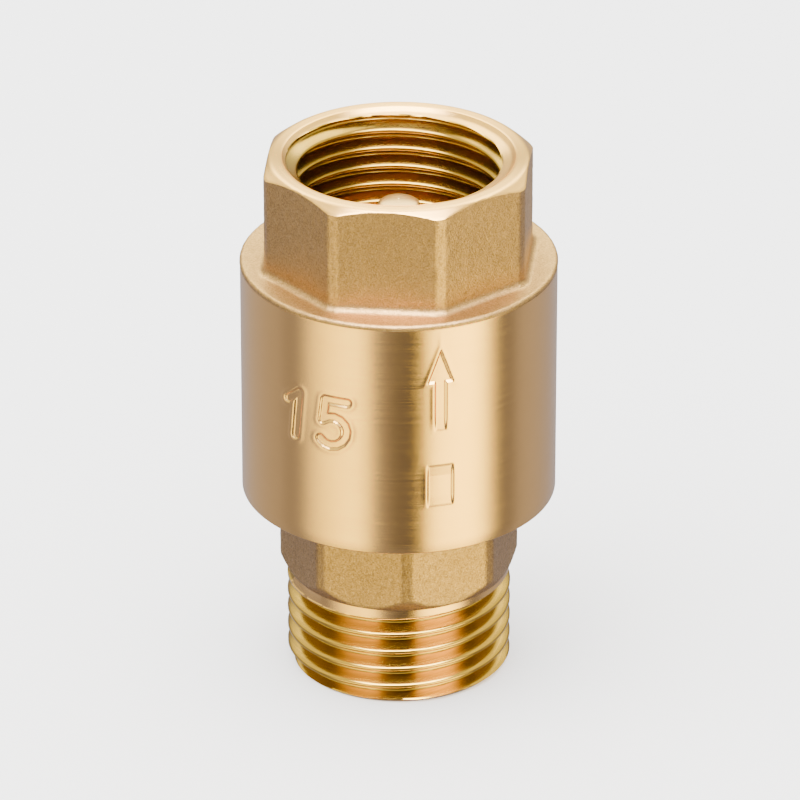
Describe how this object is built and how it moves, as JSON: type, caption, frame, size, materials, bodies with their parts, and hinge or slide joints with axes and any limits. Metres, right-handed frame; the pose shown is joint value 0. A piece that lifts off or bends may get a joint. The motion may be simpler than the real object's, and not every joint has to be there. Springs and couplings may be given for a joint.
{
  "type": "inline spring check valve",
  "caption": "Brass in-line spring check valve with a female pipe thread at its outlet, a male one at its inlet and a lifting poppet inside.",
  "frame": {"origin": "centre of the inlet end face, on the valve's axis", "axes": "+Z along the axis, the way the water flows, from the male inlet up to the female outlet; the flats of the outlet octagon face +X, -X, +Y and -Y"},
  "size_m": [0.0294, 0.0294, 0.0516],
  "materials": {
    "forged_brass": "forged and bead-blasted on the flats and shoulder, finely turned on the barrel",
    "threaded_brass": "forged octagon, cut thread with bright crests",
    "turned_brass": "fine turned",
    "cast_brass": "as cast",
    "nitrile": "matt moulded",
    "fibre": "pressed fibre gasket",
    "stainless": "drawn wire, bright",
    "plated_steel": "machined stainless nut"
  },
  "bodies": {
    "housing": {"outlet_body": "forged_brass", "inlet_connector": "threaded_brass", "joint_gasket": "fibre", "stem_guide": "cast_brass", "closing_spring": "stainless"},
    "poppet": {"valve_stem": "turned_brass", "poppet_disc": "turned_brass", "poppet_seal": "nitrile", "wing_retainer": "cast_brass", "stem_nut": "plated_steel"}
  },
  "joints": [
    {"name": "poppet_lift", "type": "slide", "parent": "housing", "child": "poppet", "axis": [0, 0, 1], "range_m": [0, 0.004], "stiffness_N_per_m": 80, "springref_m": -0.005, "deforming": ["closing_spring"]}
  ]
}
